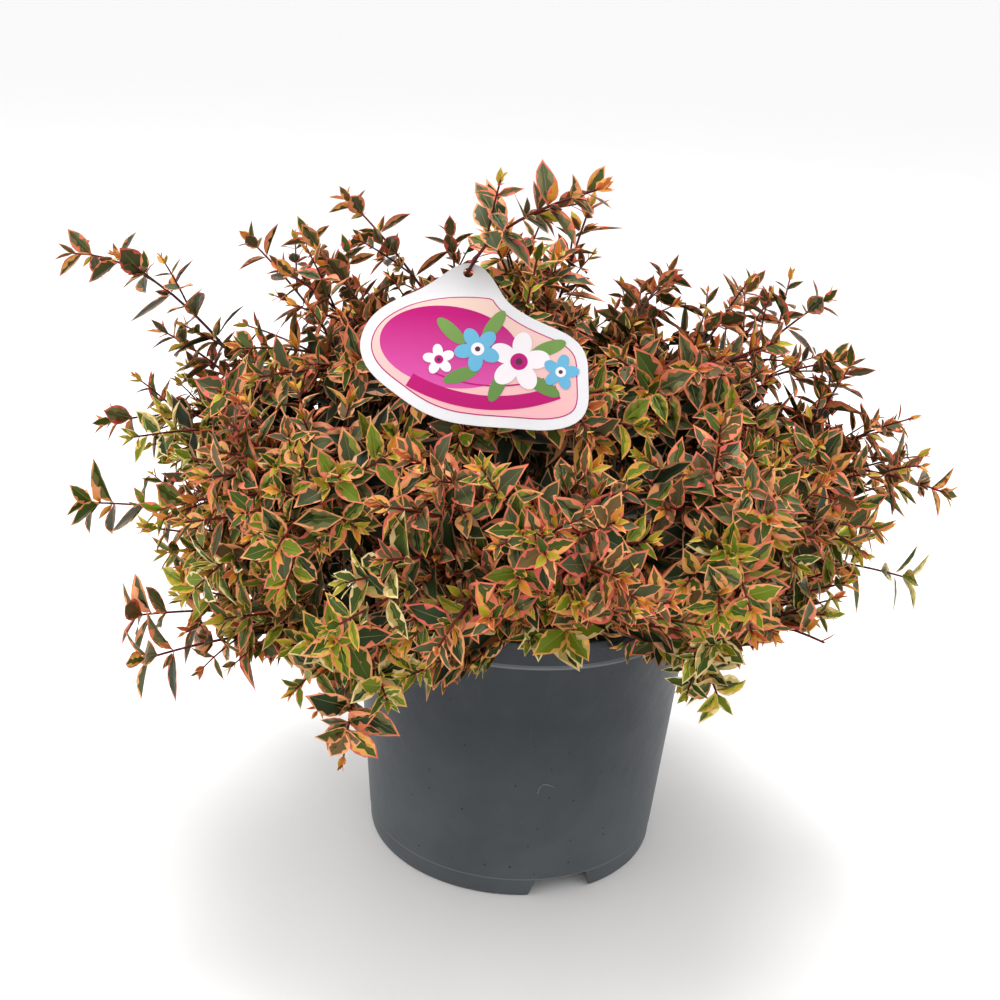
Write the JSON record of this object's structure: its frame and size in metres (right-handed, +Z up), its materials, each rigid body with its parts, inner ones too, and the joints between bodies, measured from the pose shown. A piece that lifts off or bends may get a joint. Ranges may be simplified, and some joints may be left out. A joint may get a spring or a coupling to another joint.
{
  "type": "potted variegated glossy abelia",
  "caption": "Low, wide evergreen shrub with variegated leaves and arching shoots, grown as a container plant in a round tapered nursery pot, with a hang label threaded on one shoot.",
  "frame": {"origin": "middle of the pot's flat underside, on the pot's axis", "axes": "+Z up along the pot's axis, -Y towards the side seen in the picture, +X to that side's right"},
  "size_m": [0.4844, 0.4364, 0.3721],
  "materials": {
    "pot_plastic": "moulded, matt, dark slate grey",
    "compost": "crumbly, moist, dark brown",
    "bark": "thin red-brown bark",
    "card": "printed plastic card, satin",
    "foliage": "satin leaves, green with coral and cream margins"
  },
  "bodies": {
    "root": {"pot": "pot_plastic", "root_ball": "compost", "stem_base": "bark", "label": "card", "bough_low_front": "bark", "bough_low_front_left": "bark", "bough_low_left": "bark", "bough_low_back_left": "bark", "bough_low_back": "bark", "bough_low_back_right": "bark", "bough_low_right": "bark", "bough_low_front_right": "bark", "bough_mid_front_right": "bark", "bough_mid_front": "bark", "bough_mid_front_left": "bark", "bough_mid_left": "bark", "bough_mid_back_left": "bark", "bough_mid_back": "bark", "bough_mid_back_right": "bark", "bough_mid_right": "bark", "bough_high_front": "bark", "bough_high_right": "bark", "bough_high_back_right": "bark", "bough_high_back_left": "bark", "bough_high_left": "bark", "bough_top": "bark", "foliage_low_front": "foliage", "foliage_low_front_left": "foliage", "foliage_low_left": "foliage", "foliage_low_back_left": "foliage", "foliage_low_back": "foliage", "foliage_low_back_right": "foliage", "foliage_low_right": "foliage", "foliage_low_front_right": "foliage", "foliage_mid_front_right": "foliage", "foliage_mid_front": "foliage", "foliage_mid_front_left": "foliage", "foliage_mid_left": "foliage", "foliage_mid_back_left": "foliage", "foliage_mid_back": "foliage", "foliage_mid_back_right": "foliage", "foliage_mid_right": "foliage", "foliage_high_front": "foliage", "foliage_high_right": "foliage", "foliage_high_back_right": "foliage", "foliage_high_back_left": "foliage", "foliage_high_left": "foliage", "foliage_top": "foliage"}
  },
  "joints": []
}
